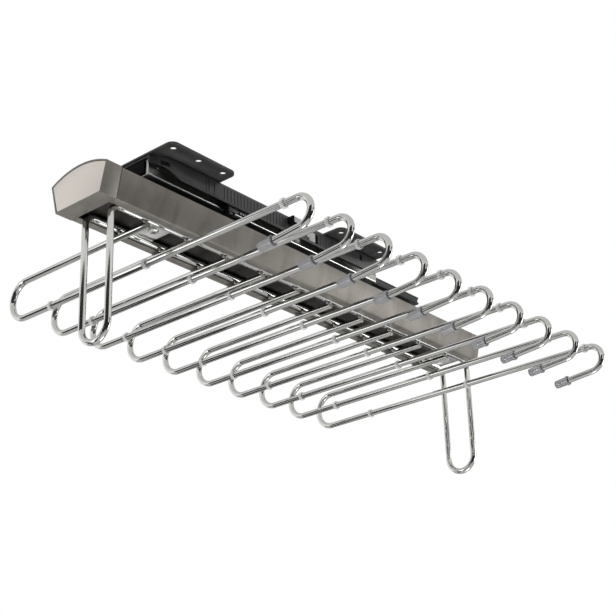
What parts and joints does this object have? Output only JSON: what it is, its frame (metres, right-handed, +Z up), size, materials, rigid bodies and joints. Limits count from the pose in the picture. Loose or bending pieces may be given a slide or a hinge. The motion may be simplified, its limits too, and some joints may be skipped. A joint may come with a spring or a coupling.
{
  "type": "pull-out trouser rack",
  "caption": "Pull-out trouser rack that hangs under a shelf: black mounting bracket, ball slide, brushed beam and open-ended chrome wire hangers.",
  "frame": {"origin": "middle of the front mounting plate's top face, which screws up against the shelf", "axes": "+X across the rack towards the open hook ends, +Y towards the rear (the rack pulls out along -Y), +Z up"},
  "size_m": [0.3054, 0.4468, 0.1478],
  "materials": {
    "black_steel": "satin black coating on sheet steel",
    "zinc_steel": "bright zinc plating on rolled sheet steel",
    "dark_steel": "dark plated rolled steel",
    "cage_steel": "bright sheet steel with steel balls",
    "beam_aluminium": "brushed along its length, champagne grey anodised",
    "cap_shell": "dark champagne grey, fine brushed",
    "champagne_plate": "pale champagne, satin",
    "chromed_wire": "bright chrome plating",
    "grey_plastic": "grey moulded plastic, fine satin",
    "clear_silicone": "clear silicone rubber"
  },
  "bodies": {
    "bracket": {"mounting_bracket": "black_steel", "slide_fixed_rail": "zinc_steel"},
    "cage_upper": {"ball_cage_upper": "cage_steel"},
    "slide_middle": {"slide_middle_rail": "dark_steel"},
    "cage_lower": {"ball_cage_lower": "cage_steel"},
    "carriage": {"slide_carriage_rail": "zinc_steel", "beam": "beam_aluminium", "front_cap": "cap_shell", "front_face": "champagne_plate", "wire_frame": "chromed_wire", "hanger_01": "chromed_wire", "hanger_02": "chromed_wire", "hanger_03": "chromed_wire", "hanger_04": "chromed_wire", "hanger_05": "chromed_wire", "hanger_06": "chromed_wire", "hanger_07": "chromed_wire", "hanger_08": "chromed_wire", "hanger_09": "chromed_wire", "hanger_10": "chromed_wire", "end_cap_01": "grey_plastic", "end_cap_02": "grey_plastic", "end_cap_03": "grey_plastic", "end_cap_04": "grey_plastic", "end_cap_05": "grey_plastic", "end_cap_06": "grey_plastic", "end_cap_07": "grey_plastic", "end_cap_08": "grey_plastic", "end_cap_09": "grey_plastic", "end_cap_10": "grey_plastic", "grip_ring_01_1": "clear_silicone", "grip_ring_01_2": "clear_silicone", "grip_ring_01_3": "clear_silicone", "grip_ring_02_1": "clear_silicone", "grip_ring_02_2": "clear_silicone", "grip_ring_02_3": "clear_silicone", "grip_ring_03_1": "clear_silicone", "grip_ring_03_2": "clear_silicone", "grip_ring_03_3": "clear_silicone", "grip_ring_04_1": "clear_silicone", "grip_ring_04_2": "clear_silicone", "grip_ring_04_3": "clear_silicone", "grip_ring_05_1": "clear_silicone", "grip_ring_05_2": "clear_silicone", "grip_ring_05_3": "clear_silicone", "grip_ring_06_1": "clear_silicone", "grip_ring_06_2": "clear_silicone", "grip_ring_06_3": "clear_silicone", "grip_ring_07_1": "clear_silicone", "grip_ring_07_2": "clear_silicone", "grip_ring_07_3": "clear_silicone", "grip_ring_08_1": "clear_silicone", "grip_ring_08_2": "clear_silicone", "grip_ring_08_3": "clear_silicone", "grip_ring_09_1": "clear_silicone", "grip_ring_09_2": "clear_silicone", "grip_ring_09_3": "clear_silicone", "grip_ring_10_1": "clear_silicone", "grip_ring_10_2": "clear_silicone", "grip_ring_10_3": "clear_silicone"}
  },
  "joints": [
    {"name": "pull_out", "type": "slide", "parent": "bracket", "child": "carriage", "axis": [0, -1, 0], "range_m": [0, 0.38]},
    {"name": "middle_rail_slide", "type": "slide", "parent": "bracket", "child": "slide_middle", "axis": [0, -1, 0], "range_m": [0, 0.19]},
    {"name": "upper_cage_roll", "type": "slide", "parent": "bracket", "child": "cage_upper", "axis": [0, -1, 0], "range_m": [0, 0.095]},
    {"name": "lower_cage_roll", "type": "slide", "parent": "bracket", "child": "cage_lower", "axis": [0, -1, 0], "range_m": [0, 0.285]}
  ],
  "couplings": [
    {"joint": "middle_rail_slide", "follows": "pull_out", "ratio": 0.5},
    {"joint": "upper_cage_roll", "follows": "pull_out", "ratio": 0.25},
    {"joint": "lower_cage_roll", "follows": "pull_out", "ratio": 0.75}
  ]
}
